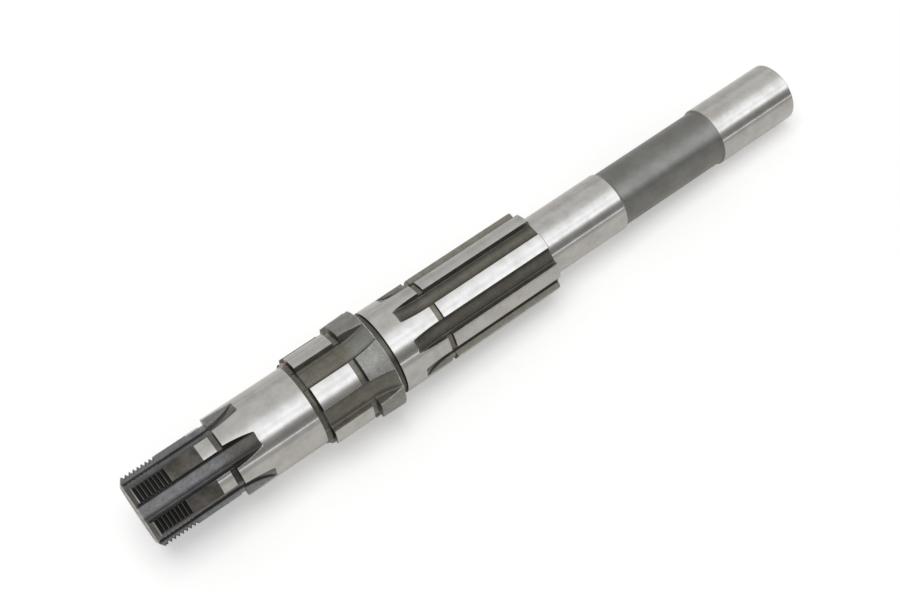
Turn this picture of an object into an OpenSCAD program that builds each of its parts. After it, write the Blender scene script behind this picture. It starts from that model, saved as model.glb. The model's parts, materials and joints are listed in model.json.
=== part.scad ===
// Transmission mainshaft, turned and ground from one steel bar.
// Three sets of parallel-sided spline teeth are milled into it, and each
// groove runs out along the curve of the milling cutter.
// Millimetres, +Z up. The shaft lies along X, threaded end at -X, in the
// pose in which it comes to rest on a flat table.

/* [Threaded end] */
// Diameter over the thread and the plain neck behind it
thread_d = 26.6; // [26:0.1:28]
// Length of the thread and the neck together
thread_len = 26; // [22:0.1:34]
// Diameter of the flat end face
nose_d = 21.6; // [20:0.1:24]
// Length of the cone from the end face up to the thread
nose_len = 1.8; // [1:0.1:3]
// Diameter of the ground land behind the neck
land_d = 26.8; // [26.2:0.1:28]
// Length of the ground land
land_len = 5.2; // [3:0.1:8]
// Diameter at the floor of the ring groove behind the land
land_groove_d = 26; // [24:0.1:26.1]
// Width of that ring groove
land_groove_len = 2.1; // [1:0.1:3]

/* [End spline] */
// Number of teeth on the threaded end
end_teeth = 6; // [4:1:8]
// Width of one tooth
end_tooth_w = 6.4; // [4:0.1:7]
// Diameter at the groove floors
end_root_d = 23; // [22:0.1:24]
// Length of full-depth groove, from the end face
end_spline_len = 30.5; // [26:0.1:36]

/* [Bearing seat] */
// Diameter of the ground seat
seat_d = 30; // [28:0.1:32]
// Length of the seat, up to the face of the collar
seat_len = 31.1; // [26:0.1:40]

/* [Splined collar] */
// Diameter over the low steps at the start of the collar teeth
rim_d = 32.8; // [32:0.1:34.4]
// Length of the low steps
rim_len = 1.5; // [1:0.1:3]
// Chamfer on the edge of the low steps towards the bearing seat
rim_chamfer = 0.8; // [0.2:0.1:0.9]
// Diameter at the floor of the slot turned behind the low steps
slot_d = 29.4; // [28.6:0.1:29.8]
// Width of that slot
slot_len = 0.7; // [0.4:0.1:1.5]
// Diameter over the ground teeth
collar_d = 35.2; // [34.6:0.1:36.4]
// Length of the ground teeth
collar_len = 15.4; // [12:0.1:20]
// Diameter at the floor of the snap ring groove in the collar
collar_ring_d = 33; // [32:0.1:33.6]
// Width of that snap ring groove
collar_ring_len = 2.4; // [1.5:0.1:3]
// Diameter of the black shoulder at the end of the collar
shoulder_d = 38; // [37:0.1:40]
// Length of the shoulder
shoulder_len = 9.8; // [7:0.1:14]
// Number of teeth round the collar
collar_teeth = 6; // [5:1:7]
// Width of one collar tooth
collar_tooth_w = 8.7; // [6:0.1:9.4]
// Diameter at the groove floors of the collar
collar_root_d = 30.5; // [30.4:0.1:31.4]
// Length of full-depth groove, from the face that the bearing butts against
collar_spline_len = 16.7; // [14:0.1:19]

/* [Gear seat and long spline] */
// Diameter at the floor of the relief beside the shoulder
relief_d = 30.4; // [29:0.1:31.4]
// Width of that relief
relief_len = 2.6; // [1.5:0.1:4]
// Diameter of the gear seat and over the long spline teeth
gear_d = 32.4; // [31.8:0.1:34]
// Length of the gear seat and the long spline together
gear_len = 67; // [62:0.1:90]
// Number of long teeth
long_teeth = 8; // [6:1:9]
// Width of one long tooth
long_tooth_w = 5.9; // [4:0.1:6.4]
// Diameter at the groove floors of the long spline
long_root_d = 28.2; // [27.4:0.1:29.4]
// Length of full-depth groove, back from the end of the teeth
long_spline_len = 48.3; // [40:0.1:50]
// Distance of the snap ring groove from the start of the gear seat
gear_ring_pos = 19.2; // [16:0.1:30]
// Width of that snap ring groove
gear_ring_len = 2.2; // [1:0.1:3]
// Diameter at the floor of that snap ring groove
gear_ring_d = 30.6; // [30:0.1:31.4]
// Chamfer on the ends of the long teeth
gear_chamfer = 0.5; // [0.2:0.05:1]

/* [Plain end] */
// Diameter of both ground journals on the plain end
journal_d = 23; // [22:0.1:24]
// Length of the journal beside the long spline
inner_journal_len = 34.2; // [26:0.1:44]
// Diameter of the rough turned waist between the journals
waist_d = 21.7; // [20:0.1:21.8]
// Length of the waist, with the cones at its ends
waist_len = 47.2; // [36:0.1:60]
// Length of the cone at each end of the waist
waist_cone_len = 1; // [0.5:0.1:3]
// Length of the journal at the very end
outer_journal_len = 34.9; // [26:0.1:44]
// Chamfer on the plain end
tip_chamfer = 0.6; // [0.2:0.1:2]

/* [Cutter and lathe centres] */
// Radius of the cutter that milled every groove
cutter_r = 28; // [24:0.5:40]
// Width of the bevel in the corners of the groove floors
root_bevel = 0.25; // [0.15:0.05:0.7]
// Mouth diameter of the centre hole in each end
centre_d = 8; // [5:0.1:10]
// Angle between the walls of the centre hole
centre_angle = 60; // [50:1:90]
// Diameter of the drilled bottom of the centre hole
centre_drill_d = 3.2; // [2:0.1:4]
// Depth of the centre hole
centre_depth = 10; // [9:0.1:16]

/* [Hidden] */
$fn = 96;
// How far a cutting shape reaches past the surface that it cuts
over = 2;

// Places along the shaft, from the threaded end face
land_x = thread_len;
land_groove_x = land_x + land_len;
seat_x = land_groove_x + land_groove_len;
rim_x = seat_x + seat_len;
slot_x = rim_x + rim_len;
collar_x = slot_x + slot_len;
collar_ring_x = collar_x + collar_len;
shoulder_x = collar_ring_x + collar_ring_len;
relief_x = shoulder_x + shoulder_len;
gear_x = relief_x + relief_len;
gear_ring_x = gear_x + gear_ring_pos;
inner_journal_x = gear_x + gear_len;
waist_x = inner_journal_x + inner_journal_len;
outer_journal_x = waist_x + waist_len;
tip_x = outer_journal_x + outer_journal_len;

// How far the cutter has lifted at a distance past the full-depth groove
function lift_at(run) = cutter_r - sqrt(cutter_r ^ 2 - run ^ 2);

// Half the width of a groove at a height over the shaft axis
function flank_y(z, teeth, tooth_w) =
    z * tan(180 / teeth) - tooth_w / 2 / cos(180 / teeth);

// Height over the axis at which a groove's edge meets a crest, once the
// cutter has lifted. Turned upside down, the shaft rests on two such edges.
function edge_h(crest_d, teeth, tooth_w, lift) =
    let (m = tan(180 / teeth), k = tooth_w / 2 / cos(180 / teeth) + lift * m)
    (m * k + sqrt((m * k) ^ 2 - (1 + m ^ 2) * (k ^ 2 - (crest_d / 2) ^ 2))) / (1 + m ^ 2);

// The shaft lies on the shoulder's last edges and on whichever of the long
// spline's end and the tip it meets first as the plain end sinks
shoulder_h = edge_h(shoulder_d, collar_teeth, collar_tooth_w, lift_at(relief_x - rim_x - collar_spline_len));
gear_end_x = inner_journal_x - gear_chamfer;
gear_h = edge_h(gear_d, long_teeth, long_tooth_w, 0);
rest_tilt = min(
    atan((shoulder_h - gear_h) / (gear_end_x - relief_x)),
    atan((shoulder_h - journal_d / 2) / (tip_x - tip_chamfer - relief_x)));
rest_lift = relief_x * sin(rest_tilt) + shoulder_h * cos(rest_tilt);
tip_face_d = journal_d - 2 * tip_chamfer;
middle_x = (tip_x * cos(rest_tilt) + (tip_face_d - nose_d) / 2 * sin(rest_tilt)) / 2;

// Everything the lathe and the grinder make, as one turned profile of radius
// against place along the shaft
module turned_blank() {
    rotate([0, 90, 0]) rotate_extrude() polygon([
        [0, 0],
        [nose_d / 2, 0],
        [thread_d / 2, nose_len],
        [thread_d / 2, land_x],
        [land_d / 2, land_x],
        [land_d / 2, land_groove_x],
        [land_groove_d / 2, land_groove_x],
        [land_groove_d / 2, seat_x],
        [seat_d / 2, seat_x],
        [seat_d / 2, rim_x],
        [rim_d / 2 - rim_chamfer, rim_x],
        [rim_d / 2, rim_x + rim_chamfer],
        [rim_d / 2, slot_x],
        [slot_d / 2, slot_x],
        [slot_d / 2, collar_x],
        [collar_d / 2, collar_x],
        [collar_d / 2, collar_ring_x],
        [collar_ring_d / 2, collar_ring_x],
        [collar_ring_d / 2, shoulder_x],
        [shoulder_d / 2, shoulder_x],
        [shoulder_d / 2, relief_x],
        [relief_d / 2, relief_x],
        [relief_d / 2, gear_x],
        [gear_d / 2, gear_x],
        [gear_d / 2, gear_ring_x],
        [gear_ring_d / 2, gear_ring_x],
        [gear_ring_d / 2, gear_ring_x + gear_ring_len],
        [gear_d / 2, gear_ring_x + gear_ring_len],
        [gear_d / 2, gear_end_x],
        [gear_d / 2 - gear_chamfer, inner_journal_x],
        [journal_d / 2, inner_journal_x],
        [journal_d / 2, waist_x],
        [waist_d / 2, waist_x + waist_cone_len],
        [waist_d / 2, outer_journal_x - waist_cone_len],
        [journal_d / 2, outer_journal_x],
        [journal_d / 2, tip_x - tip_chamfer],
        [tip_face_d / 2, tip_x],
        [0, tip_x]
    ]);
}

// Outline of the milling cutter's tooth: how far from the cutter's axis,
// against how far to the side. The floor follows the root circle.
module cutter_outline(teeth, tooth_w, root_d, reach) {
    root = root_d / 2;
    corner = 180 / teeth - asin(tooth_w / 2 / root);
    corner_z = root * cos(corner);
    flank_z = corner_z + root_bevel;
    flank = flank_y(flank_z, teeth, tooth_w);
    floor_y = root * sin(corner) - root_bevel;
    floor_z = sqrt(root ^ 2 - floor_y ^ 2);
    under_z = min(floor_z, corner_z) - root_bevel;
    under_y = floor_y - (flank - floor_y) * (floor_z - under_z) / (flank_z - floor_z);
    top_z = reach + over;
    top_y = flank_y(top_z, teeth, tooth_w);
    axis_z = root + cutter_r;
    difference() {
        polygon([
            [axis_z - top_z, -top_y], [axis_z - flank_z, -flank], [axis_z - under_z, -under_y],
            [axis_z - under_z, under_y], [axis_z - flank_z, flank], [axis_z - top_z, top_y]
        ]);
        translate([axis_z, 0]) circle(r = root);
    }
}

// One groove along +X: a straight cut to full depth, then the round that
// the cutter leaves where it is lifted out
module milled_groove(length, teeth, tooth_w, root_d, reach) {
    translate([0, 0, root_d / 2 + cutter_r]) {
        rotate([0, 90, 0]) linear_extrude(length) cutter_outline(teeth, tooth_w, root_d, reach);
        translate([length, 0, 0]) rotate([90, 90, 0]) rotate_extrude(angle = 60) cutter_outline(teeth, tooth_w, root_d, reach);
    }
}

// A full set of grooves round the shaft, the first one at a given angle
module groove_set(first, length, teeth, tooth_w, root_d, reach) {
    for (i = [0 : teeth - 1])
        rotate([first + i * 360 / teeth, 0, 0]) milled_groove(length, teeth, tooth_w, root_d, reach);
}

// A lathe centre hole that opens towards -X
module centre_hole() {
    cone = (centre_d - centre_drill_d) / 2 / tan(centre_angle / 2);
    rotate([0, 90, 0]) rotate_extrude() polygon([
        [0, -over], [centre_d / 2, -over], [centre_d / 2, 0], [centre_drill_d / 2, cone],
        [centre_drill_d / 2, centre_depth], [0, centre_depth + centre_drill_d / 2]
    ]);
}

// The whole shaft along +X, threaded end face at the origin
module shaft() {
    difference() {
        turned_blank();
        translate([-over, 0, 0])
            groove_set(180 / end_teeth, end_spline_len + over, end_teeth, end_tooth_w, end_root_d, seat_d / 2);
        translate([rim_x - over, 0, 0])
            groove_set(0, collar_spline_len + over, collar_teeth, collar_tooth_w, collar_root_d, shoulder_d / 2);
        translate([inner_journal_x + over, 0, 0]) mirror([1, 0, 0])
            groove_set(0, long_spline_len + over, long_teeth, long_tooth_w, long_root_d, gear_d / 2);
        centre_hole();
        translate([tip_x, 0, 0]) mirror([1, 0, 0]) centre_hole();
    }
}

module mainshaft() {
    color([0.62, 0.61, 0.59])
        translate([-middle_x, 0, rest_lift]) rotate([0, rest_tilt, 0]) shaft();
}

mainshaft();
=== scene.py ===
# %% [markdown]
# # A transmission mainshaft
# The object is one steel shaft: turned on a lathe, milled for its spline
# teeth, hardened, and ground bright on every seat that carries something.
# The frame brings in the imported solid, which stays fixed. This lesson builds
# a finer mesh in the same place, with rounded edges and a real thread, and
# gives each kind of surface its own steel.

# %% Load the frame
import json
import math

import bpy
import numpy as np
from mathutils import Matrix, Vector


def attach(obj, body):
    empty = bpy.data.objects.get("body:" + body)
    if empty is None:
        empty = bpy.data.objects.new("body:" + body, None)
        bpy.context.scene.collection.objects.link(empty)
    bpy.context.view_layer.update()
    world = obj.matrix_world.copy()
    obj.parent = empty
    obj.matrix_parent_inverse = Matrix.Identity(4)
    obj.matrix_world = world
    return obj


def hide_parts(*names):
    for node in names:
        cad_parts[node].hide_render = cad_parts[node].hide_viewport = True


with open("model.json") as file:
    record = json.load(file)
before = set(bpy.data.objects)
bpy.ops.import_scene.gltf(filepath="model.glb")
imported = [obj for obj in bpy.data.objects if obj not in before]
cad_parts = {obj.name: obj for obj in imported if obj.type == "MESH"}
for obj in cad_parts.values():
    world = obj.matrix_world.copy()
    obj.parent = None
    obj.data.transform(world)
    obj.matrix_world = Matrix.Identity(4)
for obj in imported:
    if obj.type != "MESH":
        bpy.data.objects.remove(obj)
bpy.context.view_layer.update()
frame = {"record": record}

# %% [markdown]
# ## Where the shaft lies
# The shaft rests on its shoulder and on its plain end, so its axis slopes a
# little. The slope could be worked out again here, but the record names the
# centre hole in the threaded end and the way it points, and that is enough to
# place the mesh. The mesh itself is made along its own X axis, in millimetres
# from the threaded end, because every size on a turned part is read that way.

# %% Place of the shaft
MM = 0.001
mounts = {mount["name"]: mount for mount in frame["record"]["mounts"]}
threaded_end = Vector(mounts["threaded_centre"]["pos_m"])
shaft_axis = -Vector(mounts["threaded_centre"]["axis"]).normalized()
side_axis = Vector((0, 1, 0))
up_axis = shaft_axis.cross(side_axis)
place = Matrix.Translation(threaded_end) @ Matrix(
    (shaft_axis, side_axis, up_axis)
).transposed().to_4x4()
to_world = np.array(place.to_3x3()).T
print("axis", tuple(shaft_axis), "up", tuple(up_axis))

# %% [markdown]
# ## The turned outline
# A lathe makes a shape that is one outline spun about the axis. A row of
# cylinders would give the same steps, but one outline keeps the mesh in one
# piece. Each row below is a corner of that outline: place along the shaft,
# radius, and the finish of the stretch that follows it. It starts at the
# bottom of the centre hole in the threaded end and finishes at the bottom of
# the other one.

# %% Corners of the turned outline
OUTLINE = [
    (11.6, 0.0, "faced"), (10.0, 1.6, "faced"), (4.157, 1.6, "faced"),
    (0.0, 4.0, "blackened"), (0.0, 10.8, "edge"), (0.6, 11.633, "blackened"),
    (1.8, 13.3, "blackened"),
    (26.0, 13.3, "blackened"), (26.0, 13.4, "ground"),
    (31.2, 13.4, "milled"), (31.2, 13.0, "milled"), (33.3, 13.0, "milled"),
    (33.3, 15.0, "ground"),
    (64.4, 15.0, "milled"), (64.4, 15.6, "milled"), (65.2, 16.4, "milled"),
    (65.9, 16.4, "milled"),
    (65.9, 14.7, "milled"), (66.6, 14.7, "milled"), (66.6, 17.6, "ground"),
    (82.0, 17.6, "milled"), (82.0, 16.5, "milled"), (84.4, 16.5, "milled"),
    (84.4, 19.0, "scaled"), (93.9, 19.0, "edge"), (94.2, 18.7, "milled"),
    (94.2, 15.2, "milled"),
    (96.8, 15.2, "milled"), (96.8, 16.2, "ground"),
    (116.0, 16.2, "milled"), (116.0, 15.3, "milled"), (118.2, 15.3, "milled"),
    (118.2, 16.2, "ground"), (163.3, 16.2, "ground"), (163.8, 15.7, "milled"),
    (163.8, 11.5, "ground"), (198.0, 11.5, "waist"), (199.0, 10.85, "waist"),
    (244.2, 10.85, "waist"), (245.2, 11.5, "ground"), (279.5, 11.5, "ground"),
    (280.1, 10.9, "faced"), (280.1, 4.0, "faced"), (275.943, 1.6, "faced"),
    (270.1, 1.6, "faced"), (268.5, 0.0, "faced"),
]
print(len(OUTLINE), "corners in the outline")

# %% [markdown]
# ## Broken edges
# Every edge of a machined part is broken with a file or a small chamfer, and
# that narrow band catches the light. A Bevel modifier would do it, but it
# would also change the spacing of the points on the teeth. Rounding the
# corners of the outline itself keeps the spacing.

# %% Lean the walls and break the edges
DRAFT = 0.03  # how far a wall leans, so that two rings never share a place
ROUND = 0.18  # size of the broken edges
MOST_CUT = 0.3  # a broken edge takes at most this share of the line beside it
ARC_DIP = 0.293  # depth of the middle of a quarter round, as a share of its size


def lean_walls(rows):
    """Moves the high end of each upright wall a hair towards its own side."""
    rows = [list(row) for row in rows]
    for here, there in zip(rows, rows[1:]):
        if here[0] == there[0] and here[1] > 0 and there[1] > 0:
            if there[1] > here[1]:
                there[0] += DRAFT
            else:
                here[0] -= DRAFT
    return rows


def break_edges(rows):
    """Puts three points on a small round in place of each corner."""
    out = [rows[0]]
    for before, here, after in zip(rows, rows[1:], rows[2:]):
        p = np.array(here[:2])
        back, on = np.array(before[:2]) - p, np.array(after[:2]) - p
        cut = min(ROUND, MOST_CUT * np.linalg.norm(back), MOST_CUT * np.linalg.norm(on))
        back, on = back / np.linalg.norm(back), on / np.linalg.norm(on)
        out += [
            (*(p + back * cut), before[2]),
            (*(p + (back + on) * cut * ARC_DIP), here[2]),
            (*(p + on * cut), here[2]),
        ]
    return out + [rows[-1]]


corners = break_edges(lean_walls(OUTLINE))
print(len(corners), "points with broken edges")

# %% [markdown]
# ## More rings where the shape bends
# A ring of points stands at each corner. Long plain stretches need no more,
# but the thread, and the places where the milling cutter lifts out of a
# groove, curve along the shaft. A finer mesh everywhere would cost far more
# points, so only those places get rings of their own. The thread's rings
# stand a sixth of its pitch apart, because each of the six teeth meets the
# thread a sixth of a turn later than the last one.

# %% Rings along the shaft
PITCH, FIRST_VALLEY = 1.5, 3.06
thread_rings = FIRST_VALLEY - PITCH / 12 + PITCH / 6 * np.arange(-3, 48)
EXTRA_X = np.r_[
    0.45, 0.55, 0.9, 1.3, 1.6, thread_rings, 15.5, 30.5,
    32.85, np.arange(33.9, 43.2, 0.75), np.arange(43.2, 44.8, 0.12), 46, 62, 81.1,
    83.95, np.arange(85, 94, 0.75), 96.35, np.arange(104.2, 105.8, 0.12),
    np.arange(106, 115.5, 0.75), 115.5, 117.75, 168, 176, 222,
]
EXTRA_R = [14.08, 14.12, 14.65, 15.23, 15.27, 15.8,
           18.0, 18.2, 18.35, 18.5, 18.65, 18.8]
WALL_WIDTH = 0.3  # a stretch that is shorter than this along the shaft is a wall
RING_GAP = 0.01  # least distance between two rings
HOLE_R = 5.0  # what lies inside this radius is a centre hole and needs no more rings


def more_rings(rows):
    """Adds the extra places that fall inside each stretch of the outline."""
    out = []
    for (x0, r0, finish), (x1, r1, _) in zip(rows, rows[1:]):
        out.append((x0, r0, finish))
        wall = abs(x1 - x0) < WALL_WIDTH
        start, end = (r0, r1) if wall else (x0, x1)
        extra = (EXTRA_R if wall else EXTRA_X) if max(r0, r1) > HOLE_R else []
        shares = [(e - start) / (end - start) for e in extra] if start != end else []
        margin = RING_GAP / abs(end - start) if start != end else 0
        for share in sorted(s for s in shares if margin < s < 1 - margin):
            out.append((x0 + share * (x1 - x0), r0 + share * (r1 - r0), finish))
    return out + [rows[-1]]


stations = more_rings(corners)
print(len(stations), "rings along the shaft")

# %% [markdown]
# ## What the milling cutter takes away
# Spline grooves are milled with a disc cutter whose rim has the shape of the
# groove: a floor on the root circle, small bevels, and flanks that are
# parallel to the teeth. Where the cutter is lifted out, each point of its rim
# follows a circle about the cutter's axis. Twenty booleans could cut the
# grooves, but the height of the cut can also be written as a formula, and
# then the mesh follows every edge of the groove exactly.

# %% One set of grooves
CUTTER_R, BEVEL = 28.0, 0.25
TRIES = 1500  # angles that are tried to find the edge of a groove
HALVINGS = 40  # times that the search for the surface halves its range
ROUND_SPOTS = np.array([-1, -0.45, 0, 0.45, 1])  # points on a rounded edge, in steps
MOST_STEP = 0.15  # such a step is at most this share of the groove's half width
FREE_STEPS = 1.4  # steps kept free between the flank's points and the groove's edge


class GrooveSet:
    """The grooves between one set of spline teeth, as the cutter leaves them."""

    def __init__(self, teeth, tooth_w, root, full_x, way, first, counts, shade_and_dirt_per_side):
        self.teeth, self.root, self.first = teeth, root, first
        self.full_x, self.way, self.counts = full_x, way, counts
        self.half = math.pi / teeth
        self.offset = tooth_w / 2 / math.cos(self.half)
        corner = self.half - math.asin(tooth_w / 2 / root)
        self.flank_z = root * math.cos(corner) + BEVEL
        self.flank_y = self.flank_z * math.tan(self.half) - self.offset
        self.floor_y = root * math.sin(corner) - BEVEL
        self.floor_z = math.sqrt(root**2 - self.floor_y**2)
        self.cutter_z = root + CUTTER_R
        self.shade_and_dirt_sides = [self.shade_and_dirt_across(*side) for side in shade_and_dirt_per_side]

    def shade_and_dirt_across(self, floor_power, in_corner, on_bevel, on_flank):
        """How dark each point is painted, as painted shade with a little dirt, from the middle of a
        groove to the middle of a tooth.
        """
        floor_n, flank_n, crest_n = self.counts
        floor = np.linspace(0, 1, floor_n + 1) ** floor_power * in_corner
        flank = np.full(flank_n + 1, on_flank)
        return np.r_[floor, on_bevel, flank, on_flank / 2, np.zeros(3 + crest_n)]

    def run(self, x):
        """How far past the full-depth groove a place is."""
        return max(0.0, self.way * (x - self.full_x))

    def surface(self, y, run):
        """Height of the cut over the axis, at a distance y to the side."""
        y = np.abs(y)
        floor = np.sqrt(np.maximum(self.root**2 - y**2, 0))
        slope = (self.flank_z - self.floor_z) / (self.flank_y - self.floor_y)
        bevel = self.floor_z + (y - self.floor_y) * slope
        flank = (y + self.offset) / math.tan(self.half)
        z = np.where(y < self.floor_y, floor, np.where(y < self.flank_y, bevel, flank))
        reach = np.maximum(self.cutter_z - z, 0)
        return self.cutter_z - np.sqrt(np.maximum(reach**2 - run**2, 0))

    def edge(self, crest, run):
        """Angle from the groove's middle to its edge on a crest, or None."""
        angle = np.linspace(0, self.half, TRIES)
        cut = crest * np.cos(angle) > self.surface(crest * np.sin(angle), run)
        if not cut.any():
            return None
        last = np.flatnonzero(cut)[-1]
        return (angle[last] + angle[min(last + 1, TRIES - 1)]) / 2

    def angles(self, crest, run):
        """Angles from the middle of a groove to the middle of a tooth, or None."""
        edge = self.edge(crest, run)
        if edge is None:
            return None
        floor_n, flank_n, crest_n = self.counts
        edge_y = crest * math.sin(edge)
        shrink = min(1.0, edge_y / (self.flank_y + ROUND))
        y = np.r_[np.linspace(0, self.floor_y, floor_n + 1), self.flank_y] * shrink
        y = np.r_[y, np.linspace(y[-1], edge_y, flank_n + 2)[1:-1]]
        low = np.arctan2(y, self.surface(y, run))
        step = min(ROUND / crest, edge * MOST_STEP)
        low = low * min(1.0, (edge - FREE_STEPS * step) / low[-1])
        near = edge + step * ROUND_SPOTS
        top = np.linspace(near[-1], self.half, crest_n + 1)[1:]
        return np.r_[low, near, top]

    def radius(self, angle, crest, run):
        """Distance of the surface from the axis, with the edges rounded."""
        low, high = np.full_like(angle, self.root / 2), np.full_like(angle, crest + 1)
        for _ in range(HALVINGS):
            middle = (low + high) / 2
            out = middle * np.cos(angle) > self.surface(middle * np.sin(angle), run)
            low, high = np.where(out, low, middle), np.where(out, middle, high)
        soft = np.maximum(ROUND - np.abs(crest - high), 0) ** 2 / (4 * ROUND)
        return np.minimum(crest, high) - soft


# %% [markdown]
# ## Three sets of grooves
# The threaded end has six teeth, the collar six wide ones, and the long
# spline eight. Each set gives its teeth and their width, the radius of the
# groove's floor, where the full depth ends and which way the cutter lifts,
# the angle of the first groove, and how many points lie across floor, flank
# and crest. Corners are painted darker as painted shade, with a little dirt,
# so each side of a groove also says how fast its floor darkens, and how dark
# its corner, bevel and flank are. In the end grooves one side is painted
# darker than the other.

# %% The three sets
# each side: how fast the floor darkens, then the painted shade in the corner, on the bevel and on
# the flank
END_UNDER, END_OVER = (3, 0.65, 0.95, 0.2), (9, 0.3, 0.8, 0.2)
COLLAR_SIDE, LONG_SIDE = (7, 0.25, 0.55, 0.25), (1.3, 0.65, 0.65, 0.1)
end_grooves = GrooveSet(
    teeth=6, tooth_w=6.4, root=11.5, full_x=30.5, way=1, first=math.pi / 6,
    counts=(5, 3, 6), shade_and_dirt_per_side=(END_UNDER, END_OVER))
collar_grooves = GrooveSet(
    teeth=6, tooth_w=8.7, root=15.25, full_x=81.1, way=1, first=0.0,
    counts=(5, 3, 6), shade_and_dirt_per_side=(COLLAR_SIDE, COLLAR_SIDE))
long_grooves = GrooveSet(
    teeth=8, tooth_w=5.9, root=14.1, full_x=115.5, way=-1, first=0.0,
    counts=(3, 2, 4), shade_and_dirt_per_side=(LONG_SIDE, LONG_SIDE))
print("groove floors are", [round(2 * g.floor_y, 2) for g in
      (end_grooves, collar_grooves, long_grooves)], "mm wide")

# %% [markdown]
# ## Rings that follow the teeth
# Each ring has 240 points, 40 to a tooth where there are six teeth and 30
# where there are eight, and the points sit on the same edges of the groove in
# every ring. Evenly spaced points would be simpler, but then faces would cut
# across the edges and leave them ragged. Where a ring meets no groove, it
# borrows the spacing of the nearest ring that does.

# %% Rings of points
RING = 240
ZONES = [(54, end_grooves), (95.5, collar_grooves), (172, long_grooves), (math.inf, None)]
station_x = np.array([s[0] for s in stations])
station_r = np.array([s[1] for s in stations])
zone_of = np.array([next(i for i, (end, _) in enumerate(ZONES) if x < end) for x in station_x])
turn = np.zeros((len(stations), RING))
radius = np.zeros((len(stations), RING))
nook = np.zeros((len(stations), RING))
for zone, (_, grooves) in enumerate(ZONES):
    members = np.flatnonzero(zone_of == zone)
    if grooves is None:
        turn[members] = np.linspace(0, 2 * math.pi, RING, endpoint=False)
        radius[members] = station_r[members, None]
        continue
    found = {i: grooves.angles(station_r[i], grooves.run(station_x[i])) for i in members}
    cut_rings = np.array([i for i in members if found[i] is not None])
    for i in members:
        half = found[cut_rings[np.abs(cut_rings - i).argmin()]]
        run = grooves.run(station_x[i])
        reach = grooves.radius(half, station_r[i], run)
        sector = np.r_[-half[:0:-1], half[:-1]]
        reach = np.r_[reach[:0:-1], reach[:-1]]
        under, over = grooves.shade_and_dirt_sides
        dark = np.r_[under[:0:-1], over[:-1]]
        starts = grooves.first + 2 * math.pi / grooves.teeth * np.arange(grooves.teeth)
        ring = (starts[:, None] + sector).ravel()
        shift = int(round(-ring[0] / (2 * grooves.half) * len(sector)))
        turn[i] = np.roll(ring, -shift)
        radius[i] = np.roll(np.tile(reach, grooves.teeth), -shift)
        nook[i] = np.roll(np.tile(dark, grooves.teeth), -shift)
in_groove = station_r[:, None] - radius
print(len(stations), "rings of", RING, "points")

# %% [markdown]
# ## Where shade is painted
# The grooves and the foot of walls are painted darker, as painted shade with
# a little dirt, and all that stands proud is left light. It could be worked
# out by casting rays from every point, but the shaft is regular, so a few
# rules do: a groove's painted shade fades out near the crest, two narrow
# floors are painted dark all over, and the foot of each listed wall gets a
# painted shadow as dark as the wall is high. The result is one number for
# each point, from 0 for unshaded to 1 for black, and every finish reads it later.

# %% Painted shade and dirt for each point
# painted shadows at the foot of these walls, and painted shade on these two narrow floors
DARK_WALLS = [(33.1, 33.4, 0.8), (65.85, 66.65, 0.62), (84.2, 84.5, 0.85),
              (96.6, 96.9, 0.9), (118.0, 118.3, 0.85)]
DARK_FLOORS = [(64.3, 65.88, 0.3), (94.25, 96.65, 0.4)]
SHADE_FADE_DEPTH = 0.6  # nearer to the crest than this, a groove's painted shade fades out
FULL_SHADE_STEP = 1.0  # the foot of a wall of this height is fully dark
nook *= np.clip(in_groove / SHADE_FADE_DEPTH, 0, 1)
for start, end, level in DARK_FLOORS:
    stretch = (station_x > start) & (station_x < end)
    nook[stretch] = np.maximum(nook[stretch], level)
for start, end, level in DARK_WALLS:
    wall = (station_x > start) & (station_x < end)
    next_ring = radius[np.flatnonzero(station_x > end)[0]]
    height = np.clip((next_ring - radius) / FULL_SHADE_STEP, 0, level)
    nook = np.maximum(nook, height * wall[:, None])
# counts the points that carry painted shade and dirt
print(int((nook > 0).sum()), "points are dirty")

# %% [markdown]
# ## The thread
# The thread was cut on the tooth crests of the end, right-handed, with a
# pitch of 1.5 mm. A texture would leave a smooth outline, and the real
# outline is a row of small teeth, so the thread is geometry. Each ring leans
# along the helix as it crosses a tooth, which keeps the crests straight.

# %% Cut the thread
THREAD_R, THREAD_DEPTH = 13.3, 0.87
THREAD_START, THREAD_END, THREAD_RUN_OUT = 2.3, 14.6, 0.5
BODY_R = 12.0  # rings inside this radius belong to the end face
VALLEY_EDGE = 5 / 12  # half the opening of a valley, in pitches
FLANK_RISE = 3  # thread depths that a flank would rise in one pitch
LEAN_EASE = 0.28  # angle over which the lean fades out towards the groove
tooth_angle = math.pi / 3
tooth_turn = np.round(turn / tooth_angle) * tooth_angle
off = turn - tooth_turn
threaded = ((zone_of == 0) & (station_x > THREAD_START) & (station_x < THREAD_END)
            & (station_r > BODY_R))[:, None]
phase = (station_x[:, None] - FIRST_VALLEY) / PITCH + tooth_turn / (2 * math.pi)
from_valley = np.abs((phase + 0.5) % 1 - 0.5)
run_out = np.clip((THREAD_END - station_x) / THREAD_RUN_OUT, 0, 1)[:, None]
opening = np.clip((VALLEY_EDGE - from_valley) * FLANK_RISE, 0, 1)
valley = opening * THREAD_DEPTH * run_out * threaded
radius = np.minimum(radius, np.where(valley > 0, THREAD_R - valley, np.inf))
ease = np.clip((tooth_angle / 2 - np.abs(off)) / LEAN_EASE, 0, 1)
lean = -PITCH / (2 * math.pi) * off * ease
point_x = station_x[:, None] + lean * threaded
print("thread valleys reach", round(float(valley.max()), 3), "mm deep")

# %% [markdown]
# ## Faces and their finishes
# A band of faces joins each ring to the next. A face that lies well below
# its crest is in a groove and gets the milled finish. A face on the rounded
# edge of a shoulder tooth gets the rubbed one, and every other face gets the
# finish that the outline names. One material could hold all the finishes
# behind masks, but as material slots their borders fall on real edges.

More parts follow.
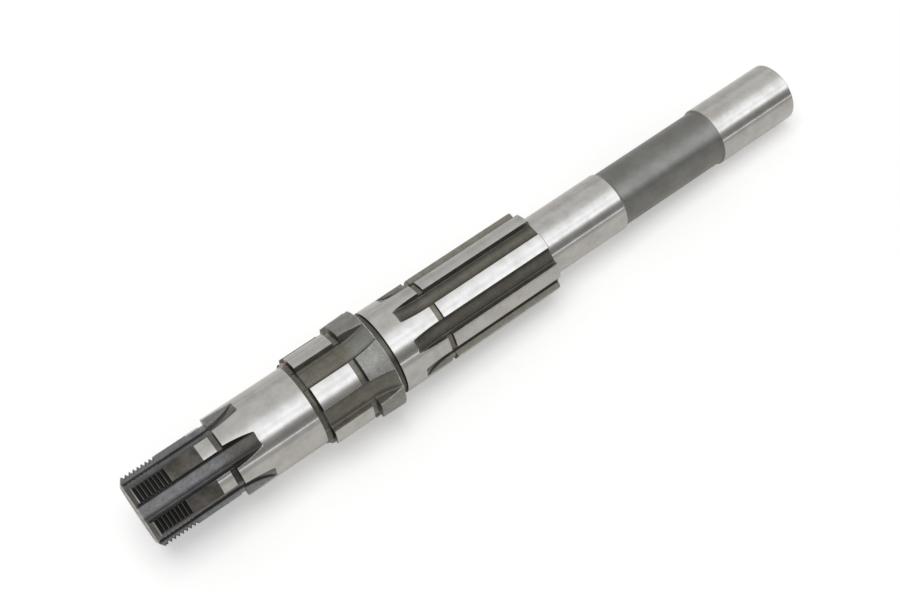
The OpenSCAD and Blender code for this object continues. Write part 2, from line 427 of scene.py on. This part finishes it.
# %% Faces and finishes
FINISHES = ["ground", "milled", "blackened", "scaled", "waist", "faced", "edge"]
GROOVE_DEPTH = 0.05  # a face that lies deeper than this is part of a groove
RUBBED = (0.003, 0.2)  # between these depths a face is on the rubbed edge of a shoulder tooth
points = np.stack([point_x, radius * np.sin(turn), radius * np.cos(turn)], axis=-1)
inner = slice(1, len(stations) - 1)
verts = points[inner].reshape(-1, 3) * MM
rings = len(stations) - 2
index = np.arange(rings * RING).reshape(rings, RING)
beside = np.roll(index, -1, axis=1)
quads = np.stack([index[:-1], index[1:], beside[1:], beside[:-1]], axis=-1).reshape(-1, 4)
depth = in_groove[inner]
depth = (depth[:-1] + depth[1:]) / 2
depth = (depth + np.roll(depth, -1, axis=1)) / 2
band = np.array([FINISHES.index(s[2]) for s in stations[1:-2]])[:, None]
in_cut = (depth > GROOVE_DEPTH) & (band != FINISHES.index("edge"))
slots = np.where(in_cut, FINISHES.index("milled"), band)
rubbed = (depth > RUBBED[0]) & (depth < RUBBED[1]) & (band == FINISHES.index("scaled"))
slots = np.where(rubbed, FINISHES.index("edge"), slots).ravel()
first_pole, last_pole = len(verts), len(verts) + 1
verts = np.r_[verts, points[[0, -1], 0] * MM]
verts = verts @ to_world + np.array(threaded_end)
caps = [(first_pole, a, b) for a, b in zip(index[0], beside[0])]
caps += [(last_pole, b, a) for a, b in zip(index[-1], beside[-1])]
faces = quads.tolist() + [tuple(map(int, cap)) for cap in caps]
slots = np.r_[slots, np.full(len(caps), FINISHES.index("faced"))].astype(np.int32)
print(len(faces), "faces in", len(FINISHES), "finishes")

# %% [markdown]
# ## The mesh
# Blender takes the points and faces as plain lists. The painted shade and
# dirt go in as a point attribute, which a shader can read by its name. Edges
# that turn sharply stay sharp, and all others are shaded smooth.

# %% Make the mesh
SHARP_ANGLE = math.radians(38)
mesh = bpy.data.meshes.new("mainshaft_ground")
mesh.from_pydata(verts.tolist(), [], faces)
mesh.polygons.foreach_set("material_index", slots)
mesh.attributes.new("nook", "FLOAT", "POINT").data.foreach_set(
    "value", np.r_[nook[inner].ravel(), 0, 0].astype(np.float32))
mesh.shade_smooth()
mesh.set_sharp_from_angle(angle=SHARP_ANGLE)
shaft = bpy.data.objects.new("mainshaft_ground", mesh)
bpy.context.scene.collection.objects.link(shaft)
print(len(mesh.vertices), "points and", len(mesh.polygons), "faces")

# %% [markdown]
# ## Straight reflections
# A ground cylinder mirrors the room as straight bands, and the eye sees any
# lean of its surface at once. The normals that Blender averages from faces of
# uneven size do lean, near the tips of the grooves. So each point of a plain
# cylinder gets the cylinder's own normal, straight out from the axis, and
# only the grooves and rounded edges keep the averaged ones.

# %% Normals
MOST_LEAN = math.cos(math.radians(25))
CREST_GAP, SAME_R = 0.002, 1e-6  # how near counts as on the crest, and as one radius
even = shaft.modifiers.new("even_normals", "WEIGHTED_NORMAL")
even.keep_sharp = True
evened = shaft.evaluated_get(bpy.context.evaluated_depsgraph_get())
normals = np.empty(3 * len(mesh.loops), np.float32)
evened.to_mesh().corner_normals.foreach_get("vector", normals)
normals = normals.reshape(-1, 3)
evened.to_mesh_clear()
shaft.modifiers.remove(even)

crest = (np.abs(station_r[:, None] - radius) < CREST_GAP)[inner]
flat_run = (np.abs(np.diff(station_r[inner])) < SAME_R)[:, None]
plain = flat_run & crest[:-1] & crest[1:]
plain &= np.roll(plain, -1, axis=1)
straight = np.zeros((rings, RING), bool)
for face_side in (plain, np.roll(plain, 1, axis=1)):
    straight[:-1] |= face_side
    straight[1:] |= face_side
outward = np.stack([0 * turn, np.sin(turn), np.cos(turn)], axis=-1)[inner].reshape(-1, 3)
outward = np.r_[outward @ to_world, np.zeros((2, 3))]
straight = np.r_[straight.ravel(), False, False]
point_of = np.empty(len(mesh.loops), np.int32)
mesh.loops.foreach_get("vertex_index", point_of)
fits = straight[point_of] & ((normals * outward[point_of]).sum(axis=1) > MOST_LEAN)
normals[fits] = outward[point_of[fits]]
mesh.normals_split_custom_set(normals.tolist())
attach(shaft, "root")
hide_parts("mainshaft")
print(int(fits.sum()), "of", len(fits), "face corners point straight out")

# %% [markdown]
# ## Writing shader maths as Python
# A finish is a small calculation over the surface. Its nodes could be placed
# and linked one by one, but the formula is then lost among the links. This
# class wraps one socket of a node tree: arithmetic on it adds Math nodes, and
# one method adds any other node, so a finish reads like a formula.

# %% A socket that can be added and multiplied
class Wire:
    """One output socket. Arithmetic on it adds Math nodes to its tree."""

    def __init__(self, tree, socket=None):
        self.tree, self.socket = tree, socket

    def __getitem__(self, name):
        return Wire(self.tree, self.socket.node.outputs[name])

    def node(self, kind, settings=None, sockets=None, output=0):
        """Adds a node: its type, its settings, then its sockets' values or links."""
        made = self.tree.nodes.new(kind)
        for name, value in (settings or {}).items():
            if name == "stops":
                ramp = made.color_ramp.elements
                while len(ramp) < len(value):
                    ramp.new(1.0)
                for stop, (at, colour) in zip(ramp, value):
                    stop.position, stop.color = at, colour
            else:
                setattr(made, name, value)
        for name, value in (sockets or {}).items():
            self.put(made, name, value)
        return Wire(self.tree, made.outputs[output])

    def put(self, made, name, value):
        """Sets one socket of a node to a value, or links it."""
        if isinstance(value, Wire):
            self.tree.links.new(value.socket, made.inputs[name])
        else:
            made.inputs[name].default_value = value

    def math(self, operation, *values):
        return self.node("ShaderNodeMath", {"operation": operation}, dict(enumerate(values)))

    def __add__(self, other):
        return self.math("ADD", self, other)

    def __radd__(self, other):
        return self.math("ADD", other, self)

    def __sub__(self, other):
        return self.math("SUBTRACT", self, other)

    def __rsub__(self, other):
        return self.math("SUBTRACT", other, self)

    def __mul__(self, other):
        return self.math("MULTIPLY", self, other)

    def __rmul__(self, other):
        return self.math("MULTIPLY", other, self)

    def __truediv__(self, other):
        return self.math("DIVIDE", self, other)

    def __rtruediv__(self, other):
        return self.math("DIVIDE", other, self)

    def step(self, low, high):
        """0 below low, 1 above high, and a smooth rise between them."""
        return self.node("ShaderNodeMapRange", {"interpolation_type": "SMOOTHSTEP"},
                         {"Value": self, "From Min": low, "From Max": high})

    def between(self, rise, fall):
        """1 inside a stretch, with a soft start and a soft end."""
        return self.step(*rise) * (1 - self.step(*fall))

    def stretched_noise(self, scale, detail=2.0, rough=0.5):
        """Noise over these coordinates, each axis with a scale of its own."""
        spread = self.node("ShaderNodeVectorMath", {"operation": "MULTIPLY"},
                           {0: self, 1: scale})
        return self.node("ShaderNodeTexNoise", None, {
            "Vector": spread, "Scale": 1.0, "Detail": detail, "Roughness": rough})

    def mix(self, first, second):
        """A colour from first to second as this value goes from 0 to 1."""
        return self.node("ShaderNodeMix", {"data_type": "RGBA"},
                         {0: self, 6: first, 7: second}, output=2)


# %% [markdown]
# ## What all finishes share
# Every finish is worked out in the shaft's own directions, so that lines can
# run round it or along it, and every finish turns towards black where the
# mesh holds painted shade and dirt. Numbers that are the same all over a
# finish are set on the shader itself.

# %% Helpers for a finish
def rgb(red, green, blue):
    return (red, green, blue, 1.0)


# near black for the painted shade and dirt in corners and at the foot of walls
SHADE_AND_DIRT_BLACK = rgb(0.012, 0.011, 0.01)


def new_finish(name, paint, **constants):
    """A steel finish. paint returns the inputs that change over the surface."""
    material = bpy.data.materials.new(name)
    material.use_nodes = True
    shader = material.node_tree.nodes["Principled BSDF"]
    bench = Wire(material.node_tree)
    here = bench.node("ShaderNodeTexCoord", output="Object")
    here = here.node("ShaderNodeMapping", {"vector_type": "TEXTURE"}, {
        "Vector": here, "Location": threaded_end, "Rotation": place.to_euler()})
    for socket, value in constants.items():
        shader.inputs[socket].default_value = value
    inputs = paint(here)
    # the mesh's painted shade and dirt darken the colour towards black
    shade_and_dirt_level = bench.node("ShaderNodeAttribute", {"attribute_name": "nook"}, output="Fac")
    inputs["Base Color"] = shade_and_dirt_level.mix(inputs["Base Color"], SHADE_AND_DIRT_BLACK)
    for socket, value in inputs.items():
        bench.put(shader, socket, value)
    print("finish", name, "uses", len(material.node_tree.nodes), "nodes")
    return material


def bump(height, strength, distance):
    return height.node("ShaderNodeBump", None, {
        "Height": height, "Strength": strength, "Distance": distance})


# %% [markdown]
# ## Ground steel
# A grinding wheel leaves fine lines that run round the shaft. They blur a
# reflection along the shaft and leave it sharp across it, which is why a
# ground cylinder shows long straight bands. Noise that is squeezed along the
# shaft and stretched round it gives those lines, in the bump and in the
# roughness. Handling leaves faint warm stains on top.

# %% Ground finish
def ground(here):
    fine = here.stretched_noise((7000, 140, 140), 3.0)
    wide = here.stretched_noise((800, 60, 60), 2.0)
    stain = here.stretched_noise((220, 220, 220), 5.0, 0.65)
    colour = stain.step(0.35, 0.7).mix(rgb(0.492, 0.481, 0.463), rgb(0.415, 0.403, 0.384))
    return {
        "Base Color": colour,
        "Roughness": 0.07 + fine * 0.07 + stain * 0.04,
        "Normal": bump(fine * 0.7 + wide * 0.3, 0.12, 0.00006),
    }


# %% [markdown]
# ## Milled and hardened steel
# The grooves were milled, then the shaft was hardened, which leaves a thin
# dark oxide. Streaks run along the grooves where the cutter passed. The
# grooves of the threaded end are bluer than the olive grooves of the collar
# and the long spline, one of their run-outs is tinted brown, and the cut
# through the shoulder is paler. A pale smear and two red specks of marking
# paint sit on the low step of the collar, and a patch of painted shade darkens
# one side of the ring groove behind the lands. Each patch is a mask that is
# worked out from the place along and across the shaft, so no image is needed.

# %% Milled finish
BLUE_FADES, RUN_OUTS_FADE = (0.029, 0.036), (0.048, 0.06)
SHOULDER = ((0.083, 0.087), (0.0938, 0.0942))
GEAR_SEAT = ((0.097, 0.098), (0.108, 0.118))
PALER_SIDE = (-0.012, -0.006)
TINT_ACROSS, TINT_UP = ((-0.0105, -0.008), (-0.003, 0.001)), (0.002, 0.006)
SMEAR, RED, RELIEF_SHADE = rgb(0.4, 0.35, 0.34), rgb(0.55, 0.09, 0.05), rgb(0.045, 0.042, 0.038)
# the last speck is a patch of painted shade, where the ring groove mirrors a shaded wall
SPECKS = [(65.0, 15.8, 52.0, 5.5, SMEAR), (65.0, 16.4, 44.6, 0.5, RED),
          (65.6, 16.4, 31.3, 0.7, RED), (32.3, 13.0, -60.0, 4.0, RELIEF_SHADE)]
SPECK_CORE, RAGGED = 0.6, 0.0012  # share of a speck that is full colour, and its uneven rim


def milled(here):
    along = here.node("ShaderNodeSeparateXYZ", None, {"Vector": here})
    streak = here.stretched_noise((140, 2600, 2600), 3.0)
    blotch = here.stretched_noise((330, 330, 330), 5.0, 0.6)
    grain = here.stretched_noise((1400, 1400, 1400), 3.0, 0.7)
    blue = 1 - along.step(*BLUE_FADES)
    fresh = along.between(*SHOULDER) * (0.25 + along["Y"].step(*PALER_SIDE) * 0.75)
    first = 1 - along.step(*RUN_OUTS_FADE)
    tinted = along["Y"].between(*TINT_ACROSS) * along["Z"].step(*TINT_UP)
    burnt = along.between(*GEAR_SEAT) * 0.4 + first * tinted
    cloud = blotch.step(0.3, 0.75) * 0.5 + grain.step(0.25, 0.75) * 0.5
    colour = cloud.mix(rgb(0.108, 0.102, 0.08), rgb(0.187, 0.178, 0.147))
    colour = first.mix(colour, cloud.mix(rgb(0.11, 0.107, 0.099), rgb(0.185, 0.181, 0.17)))
    colour = burnt.mix(colour, cloud.mix(rgb(0.052, 0.048, 0.041), rgb(0.093, 0.088, 0.076)))
    colour = blue.mix(colour, cloud.mix(rgb(0.069, 0.068, 0.068), rgb(0.148, 0.147, 0.148)))
    colour = fresh.mix(colour, cloud.mix(rgb(0.16, 0.158, 0.144), rgb(0.22, 0.218, 0.2)))
    for x, out, degrees, size, tint in SPECKS:
        turned = math.radians(degrees)
        centre = (x * MM, out * MM * math.sin(turned), out * MM * math.cos(turned))
        away = here.node("ShaderNodeVectorMath", {"operation": "DISTANCE"},
                         {0: here, 1: centre}, output="Value")
        away = away + (blotch - 0.5) * RAGGED
        colour = (1 - away.step(size * SPECK_CORE * MM, size * MM)).mix(colour, tint)
    return {
        "Base Color": colour,
        "Roughness": 0.2 - blue * 0.14 + blotch * 0.12 + streak * 0.08,
        "Normal": bump((streak * 0.6 + blotch * 0.4) * (1 - blue * 0.65), 0.25, 0.00008),
    }


# %% [markdown]
# ## Blackened thread and neck
# The thread, the neck behind it and the end face keep their dark oxide, with
# brown heat tints on the neck. The thread's flanks are painted nearly black as
# painted shade, its roots a little lighter as a painted reflection, its crests
# show a little steel, and the first crest is rubbed bright. The distance from
# the axis tells a flank or a root from a crest.

# %% Blackened finish
THREAD = ((0.0018, 0.002), (0.0142, 0.0146))
FIRST_CREST = ((0.0019, 0.0022), (0.0025, 0.0028))
FLANK_SHADE_TOP, ROOT_SHEEN_TOP = (0.0128, 0.0133), (0.01243, 0.0125)


def blackened(here):
    along = here.node("ShaderNodeSeparateXYZ", None, {"Vector": here})
    out = along.math("SQRT", along["Y"] * along["Y"] + along["Z"] * along["Z"])
    rings = here.stretched_noise((5000, 120, 120), 3.0)
    blotch = here.stretched_noise((150, 150, 150), 5.0, 0.65)
    neck = blotch.step(0.35, 0.7).mix(rgb(0.055, 0.05, 0.044), rgb(0.128, 0.119, 0.106))
    thread = along.between(*THREAD)
    first = along.between(*FIRST_CREST)
    flank = 1 - out.step(*FLANK_SHADE_TOP)
    root = 1 - out.step(*ROOT_SHEEN_TOP)
    colour = (thread * 0.4).mix(neck, rgb(0.13, 0.125, 0.12))
    colour = (thread * first * 0.4).mix(colour, rgb(0.5, 0.49, 0.47))
    # painted shade: the thread's flanks turn nearly black
    colour = (thread * flank).mix(colour, rgb(0.006, 0.006, 0.005))
    return {
        # painted reflection: the thread's roots are a little lighter than its flanks
        "Base Color": (thread * root).mix(colour, rgb(0.034, 0.032, 0.031)),
        "Roughness": 0.28 + blotch * 0.12 + rings * 0.08,
        "Normal": bump(rings, 0.2, 0.00005),
    }


# %% [markdown]
# ## Shoulder, waist and end faces
# The shoulder was turned and never ground, so it is a duller grey with turned
# lines. The waist between the journals is rougher still, a flat grey green.
# The plain end and both centre holes were faced after hardening and are pale.
# A picture of each could be wrapped round the shaft, but noise in the shaft's
# own directions has no seam.

# %% Shoulder, waist and faced finishes
def scaled(here):
    lines = here.stretched_noise((3000, 900, 900), 3.0)
    blotch = here.stretched_noise((240, 240, 240), 4.0, 0.6)
    grain = here.stretched_noise((1400, 1400, 1400), 3.0, 0.7)
    cloud = blotch.step(0.3, 0.75) * 0.5 + grain.step(0.25, 0.75) * 0.5
    return {
        "Base Color": cloud.mix(rgb(0.175, 0.172, 0.157), rgb(0.34, 0.335, 0.31)),
        "Roughness": 0.41 + lines * 0.12 + blotch * 0.06,
        "Normal": bump(lines, 0.22, 0.00008),
    }


def waist(here):
    rings = here.stretched_noise((2200, 120, 120), 3.0)
    grain = here.stretched_noise((1500, 1500, 1500), 4.0, 0.65)
    blotch = here.stretched_noise((120, 120, 120), 5.0, 0.65)
    return {
        "Base Color": blotch.step(0.3, 0.75).mix(rgb(0.165, 0.164, 0.151), rgb(0.212, 0.211, 0.195)),
        "Roughness": 0.29 + grain * 0.12,
        "Normal": bump(grain * 0.6 + rings * 0.4, 0.3, 0.0001),
    }


def faced(here):
    rings = here.stretched_noise((400, 5000, 5000), 2.0)
    blotch = here.stretched_noise((300, 300, 300), 4.0)
    return {
        "Base Color": blotch.step(0.3, 0.7).mix(rgb(0.56, 0.55, 0.53), rgb(0.64, 0.63, 0.61)),
        "Roughness": 0.28 + rings * 0.12,
        "Normal": bump(rings, 0.1, 0.00005),
    }


# %% [markdown]
# ## Rubbed edges
# An edge that touches other parts loses its oxide first, so the rim of the
# nose, the right edge of the shoulder and the edges of its teeth are bright.
# They could be found by their curvature, but here the mesh already knows them.

# %% Rubbed finish
def edge(here):
    rub = here.stretched_noise((500, 500, 500), 3.0, 0.6)
    return {
        "Base Color": rub.step(0.35, 0.65).mix(rgb(0.3, 0.292, 0.268), rgb(0.5, 0.488, 0.455)),
        "Roughness": 0.2 + rub * 0.15,
        "Normal": bump(rub, 0.1, 0.00005),
    }


# %% [markdown]
# ## Finishes on the shaft
# Each finish becomes one material slot, in the order that the faces use. A
# thin oxide isn't metal, so the dark finishes are a little less metallic than
# bare steel.

# %% Put the finishes on
PAINTS = {"ground": ground, "milled": milled, "blackened": blackened, "scaled": scaled,
          "waist": waist, "faced": faced, "edge": edge}
METAL = {"milled": 0.75, "blackened": 0.85, "scaled": 0.85, "waist": 0.85}
for finish in FINISHES:
    mesh.materials.append(
        new_finish(finish + "_steel", PAINTS[finish], Metallic=METAL.get(finish, 1.0)))

# %% [markdown]
# ## Floor
# The shaft lies on a plain white sweep, which takes its soft shadow from real
# light. A glow lifts it to the white of paper for the camera, and the glow
# grows away from the shaft, where the lamp's own light falls off. In the
# metal the floor shows dimmer and warmer, as it does beside a real shaft.

# %% Floor
FLOOR_SIZE = 6.0
half_floor = FLOOR_SIZE / 2
floor_corners = [(-half_floor, -half_floor, 0), (half_floor, -half_floor, 0),
                 (half_floor, half_floor, 0), (-half_floor, half_floor, 0)]
floor_mesh = bpy.data.meshes.new("floor")
floor_mesh.from_pydata(floor_corners, [], [(0, 1, 2, 3)])
floor = bpy.data.objects.new("floor", floor_mesh)
bpy.context.scene.collection.objects.link(floor)
print("floor", FLOOR_SIZE, "m across")

# %% Paper finish
GLOW, GLOW_GROWS = 0.6, (0.2, 1.2)
NEAR_GLOW, FLOOR_IN_METAL = rgb(0.55, 0.55, 0.55), rgb(0.237, 0.215, 0.18)
BLACK, WHITE = rgb(0, 0, 0), rgb(1, 1, 1)
paper = bpy.data.materials.new("white_paper")
paper.use_nodes = True
sheet = paper.node_tree.nodes["Principled BSDF"]
sheet.inputs["Base Color"].default_value = rgb(0.86, 0.86, 0.855)
sheet.inputs["Roughness"].default_value = 0.9
sheet.inputs["Specular IOR Level"].default_value = 0.0
sheet.inputs["Emission Strength"].default_value = GLOW
bench = Wire(paper.node_tree)
ray = bench.node("ShaderNodeLightPath", output="Is Camera Ray")
seen = ray.math("MAXIMUM", ray, ray["Is Transmission Ray"])
on_floor = bench.node("ShaderNodeTexCoord", output="Object")
away = on_floor.node("ShaderNodeVectorMath", {"operation": "LENGTH"}, {0: on_floor},
                     output="Value")
white = away.step(*GLOW_GROWS).mix(NEAR_GLOW, WHITE)
glow = ray["Is Glossy Ray"].mix(BLACK, FLOOR_IN_METAL)
bench.put(sheet, "Emission Color", seen.mix(glow, white))
floor_mesh.materials.append(paper)
print("paper uses", len(paper.node_tree.nodes), "nodes")

# %% [markdown]
# ## Room and light
# Polished metal shows the room. Across the shaft, from the far side to the
# near side, the room is a grey wall, a broad white softbox overhead, a dark
# gap, a thin bright strip and pale paper. The world draws those bands for
# reflections, by the angle about the shaft's axis. Matt surfaces get even
# light from it, and the camera sees white.

# %% World
BANDS = [(-180, 0.9), (-105, 0.76), (-90, 0.62), (-79, 0.6), (-78.2, 2.0), (-76.4, 2.0),
         (-75.5, 0.4), (-62, 0.34), (-51, 0.52), (-46, 0.95), (-40.5, 1.9), (-36, 2.1),
         (-29, 1.76), (-24, 1.76), (-20, 1.98), (-12, 1.74), (0, 1.5), (9, 1.12),
         (18, 0.97), (32, 0.87), (54, 0.92), (70, 0.76), (78, 0.73), (88, 0.88),
         (95, 0.98), (180, 0.95)]
SOFTBOX_TINT, WALL_TINT = (0.97, 0.995, 1.035), (1.0, 0.995, 0.985)
SOFTBOX_FROM = 1.3  # a band that is brighter than this belongs to the softbox
BRIGHTEST = 2.5  # a ramp holds 0 to 1, so it is filled in shares of this level
FILL = 0.46  # even light on matt surfaces
room = bpy.data.worlds.new("studio")
bpy.context.scene.world = room
room.use_nodes = True
bench = Wire(room.node_tree)
look = bench.node("ShaderNodeTexCoord", output="Generated")
across = look.node("ShaderNodeVectorMath", {"operation": "DOT_PRODUCT"},
                   {0: look, 1: side_axis}, output="Value")
above = look.node("ShaderNodeVectorMath", {"operation": "DOT_PRODUCT"},
                  {0: look, 1: up_axis}, output="Value")
share = across.math("ARCTAN2", across, above) / (2 * math.pi) + 0.5
stops = []
for degrees, level in BANDS:
    tint = SOFTBOX_TINT if level > SOFTBOX_FROM else WALL_TINT
    stops.append(((degrees + 180) / 360, rgb(*(level / BRIGHTEST * part for part in tint))))
bands = share.node("ShaderNodeValToRGB", {"stops": stops}, {"Fac": share})
bands = bands.node("ShaderNodeVectorMath", {"operation": "SCALE"},
                   {0: bands, "Scale": BRIGHTEST})
ray = bench.node("ShaderNodeLightPath", output="Is Glossy Ray")
colour = ray.mix(rgb(FILL, FILL, FILL), bands)
colour = ray["Is Camera Ray"].mix(colour, WHITE)
background = room.node_tree.nodes["Background"]
bench.put(background, "Color", colour)
room.cycles.sampling_method = "NONE"  # no rays are aimed at the bands
print(len(BANDS), "bands in the room's reflection")

# %% [markdown]
# ## Softbox
# One large softbox hangs over the shaft, and gives the floor its soft shadow.
# A small lamp would be simpler, but its shadow has a hard edge. The softbox's
# picture in the metal is the white band of the room, so the lamp itself is
# kept out of reflections.

# %% Softbox
LAMP_SIZE, LAMP_POWER = 0.6, 4.2
LAMP_PLACE = (-0.1, -0.02, 1.0)
lamp = bpy.data.lights.new("softbox", "AREA")
lamp.shape, lamp.size, lamp.energy = "SQUARE", LAMP_SIZE, LAMP_POWER
softbox = bpy.data.objects.new("softbox", lamp)
softbox.location = LAMP_PLACE
softbox.rotation_mode = "QUATERNION"
softbox.rotation_quaternion = softbox.location.to_track_quat("Z", "Y")
softbox.visible_glossy = False
bpy.context.scene.collection.objects.link(softbox)
print("softbox", LAMP_SIZE, "m across at", tuple(softbox.location))

# %% [markdown]
# ## Camera
# A camera could be set by eye, but outlines only match when the lens is right.
# This one was found by fitting a lens to the outlines of the shaft. It stands
# on the near side of the threaded end, half a metre away, looks down steeply,
# and is turned so that the shaft runs across the picture's diagonal.

# %% Camera
SENSOR, LENS = 36.0, 56.34
NEAREST, FURTHEST = 0.01, 50.0
CAMERA_PLACE = (-0.13401, -0.21018, 0.44569)
CAMERA_RIGHT = Vector((0.79678, -0.60017, -0.07025))
CAMERA_TOP = Vector((0.55117, 0.67418, 0.49163))
camera_data = bpy.data.cameras.new("camera")
camera_data.sensor_width, camera_data.lens = SENSOR, LENS
camera_data.clip_start, camera_data.clip_end = NEAREST, FURTHEST
camera = bpy.data.objects.new("camera", camera_data)
back = CAMERA_RIGHT.cross(CAMERA_TOP).normalized()
top = back.cross(CAMERA_RIGHT).normalized()
camera.matrix_world = Matrix.Translation(CAMERA_PLACE) @ Matrix(
    (CAMERA_RIGHT.normalized(), top, back)).transposed().to_4x4()
bpy.context.scene.collection.objects.link(camera)
bpy.context.scene.camera = camera
bpy.context.scene.view_settings.view_transform = "Standard"
print("camera at", tuple(camera.location))
